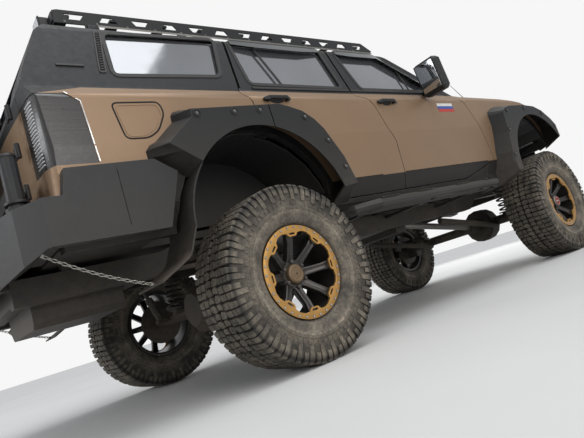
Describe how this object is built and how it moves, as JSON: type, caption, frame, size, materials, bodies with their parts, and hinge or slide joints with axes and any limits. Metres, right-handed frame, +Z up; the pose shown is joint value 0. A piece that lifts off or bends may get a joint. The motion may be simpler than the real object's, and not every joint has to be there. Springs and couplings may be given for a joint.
{
  "type": "lifted off-road 4x4",
  "caption": "Lifted off-road 4x4 wagon on a ladder frame, with opening doors, bonnet and swing-out spare carrier, steering and rolling wheels.",
  "frame": {"origin": "on the ground below the middle of the overall box, from the front recovery eyes to the back of the spare tyre", "axes": "+X forward along the vehicle, +Y to its left, +Z up"},
  "size_m": [5.17, 2.21, 1.99],
  "materials": {
    "bronze_paint": "matt bronze with a dusty sheen",
    "chassis_black": "satin black, dusty",
    "black_plastic": "grained black",
    "powder_coat": "textured dark grey powder coat",
    "clear_lens": "clear moulded lens",
    "smoked_lens": "smoked ribbed lens",
    "lamp_housing": "black lamp body",
    "glass": "tinted",
    "flap_rubber": "matt",
    "chain_steel": "dull zinc",
    "shackle_red": "red enamel",
    "seat_fabric": "woven, dark grey",
    "cast_alloy": "as cast, dusty",
    "exhaust_steel": "heat dulled",
    "tyre_rubber": "dusty rubber",
    "rim_grey": "gunmetal with a gold-bronze outer ring"
  },
  "bodies": {
    "body": {"frame_rails": "chassis_black", "floor_pan": "chassis_black", "body_sides": "bronze_paint", "rear_frame": "bronze_paint", "roof_panel": "bronze_paint", "nose_panels": "bronze_paint", "grille": "black_plastic", "head_lamps": "clear_lens", "tail_lamps": "smoked_lens", "front_bumper": "powder_coat", "rear_bumper": "powder_coat", "roof_rack": "powder_coat", "rack_lamps": "lamp_housing", "fixed_glass": "glass", "wheel_flares": "black_plastic", "arch_liners": "black_plastic", "side_steps": "powder_coat", "mud_flaps": "flap_rubber", "flap_chains": "chain_steel", "bow_shackles": "shackle_red", "seats": "seat_fabric", "dashboard": "black_plastic", "steering_wheel": "black_plastic", "drivetrain": "cast_alloy", "exhaust": "exhaust_steel", "fuel_tank": "chassis_black", "front_axle": "chassis_black", "rear_axle": "chassis_black", "links_and_dampers": "chassis_black", "coil_springs": "chassis_black"},
    "bonnet": {"bonnet": "bronze_paint"},
    "carrier": {"wheel_carrier": "powder_coat", "spare_tyre": "tyre_rubber", "spare_rim": "rim_grey"},
    "door_front_right": {"door_front_right": "bronze_paint", "glass_front_right": "glass", "mirror_right": "black_plastic"},
    "door_rear_right": {"door_rear_right": "bronze_paint", "glass_rear_right": "glass", "door_flare_right": "black_plastic"},
    "tail_door_right": {"tail_door_right": "bronze_paint", "tail_glass_right": "glass"},
    "knuckle_right": {"knuckle_right": "chassis_black"},
    "wheel_front_right": {"tyre_front_right": "tyre_rubber", "rim_front_right": "rim_grey"},
    "wheel_rear_right": {"tyre_rear_right": "tyre_rubber", "rim_rear_right": "rim_grey"},
    "door_front_left": {"door_front_left": "bronze_paint", "glass_front_left": "glass", "mirror_left": "black_plastic"},
    "door_rear_left": {"door_rear_left": "bronze_paint", "glass_rear_left": "glass", "door_flare_left": "black_plastic"},
    "tail_door_left": {"tail_door_left": "bronze_paint", "tail_glass_left": "glass"},
    "knuckle_left": {"knuckle_left": "chassis_black"},
    "wheel_front_left": {"tyre_front_left": "tyre_rubber", "rim_front_left": "rim_grey"},
    "wheel_rear_left": {"tyre_rear_left": "tyre_rubber", "rim_rear_left": "rim_grey"}
  },
  "joints": [
    {"name": "bonnet_hinge", "type": "hinge", "parent": "body", "child": "bonnet", "pos_m": [1.031, 0, 1.449], "axis": [0, -1, 0], "range_deg": [0, 60]},
    {"name": "carrier_swing", "type": "hinge", "parent": "body", "child": "carrier", "pos_m": [-2.285, -0.8, 1.08], "axis": [0, 0, 1], "range_deg": [0, 110]},
    {"name": "door_front_right_hinge", "type": "hinge", "parent": "body", "child": "door_front_right", "pos_m": [1.135, -0.925, 1.1], "axis": [0, 0, 1], "range_deg": [0, 65]},
    {"name": "door_rear_right_hinge", "type": "hinge", "parent": "body", "child": "door_rear_right", "pos_m": [-0.02, -0.925, 1.1], "axis": [0, 0, 1], "range_deg": [0, 65]},
    {"name": "tail_door_right_hinge", "type": "hinge", "parent": "body", "child": "tail_door_right", "pos_m": [-2.205, -0.745, 1.4], "axis": [0, 0, 1], "range_deg": [0, 88]},
    {"name": "steer_right", "type": "hinge", "parent": "body", "child": "knuckle_right", "pos_m": [1.795, -0.7, 0.44], "axis": [0, 0, 1], "range_deg": [-30, 30]},
    {"name": "wheel_front_right_spin", "type": "hinge", "parent": "knuckle_right", "child": "wheel_front_right", "pos_m": [1.795, -0.87, 0.44], "axis": [0, 1, 0], "continuous": true},
    {"name": "wheel_rear_right_spin", "type": "hinge", "parent": "body", "child": "wheel_rear_right", "pos_m": [-1.175, -0.87, 0.44], "axis": [0, 1, 0], "continuous": true},
    {"name": "door_front_left_hinge", "type": "hinge", "parent": "body", "child": "door_front_left", "pos_m": [1.135, 0.925, 1.1], "axis": [0, 0, -1], "range_deg": [0, 65]},
    {"name": "door_rear_left_hinge", "type": "hinge", "parent": "body", "child": "door_rear_left", "pos_m": [-0.02, 0.925, 1.1], "axis": [0, 0, -1], "range_deg": [0, 65]},
    {"name": "tail_door_left_hinge", "type": "hinge", "parent": "body", "child": "tail_door_left", "pos_m": [-2.205, 0.745, 1.4], "axis": [0, 0, -1], "range_deg": [0, 66]},
    {"name": "steer_left", "type": "hinge", "parent": "body", "child": "knuckle_left", "pos_m": [1.795, 0.7, 0.44], "axis": [0, 0, 1], "range_deg": [-30, 30]},
    {"name": "wheel_front_left_spin", "type": "hinge", "parent": "knuckle_left", "child": "wheel_front_left", "pos_m": [1.795, 0.87, 0.44], "axis": [0, 1, 0], "continuous": true},
    {"name": "wheel_rear_left_spin", "type": "hinge", "parent": "body", "child": "wheel_rear_left", "pos_m": [-1.175, 0.87, 0.44], "axis": [0, 1, 0], "continuous": true}
  ],
  "couplings": [
    {"joint": "tail_door_right_hinge", "follows": "carrier_swing", "ratio": 0.8},
    {"joint": "tail_door_left_hinge", "follows": "carrier_swing", "ratio": 0.6},
    {"joint": "steer_left", "follows": "steer_right", "ratio": 1}
  ]
}
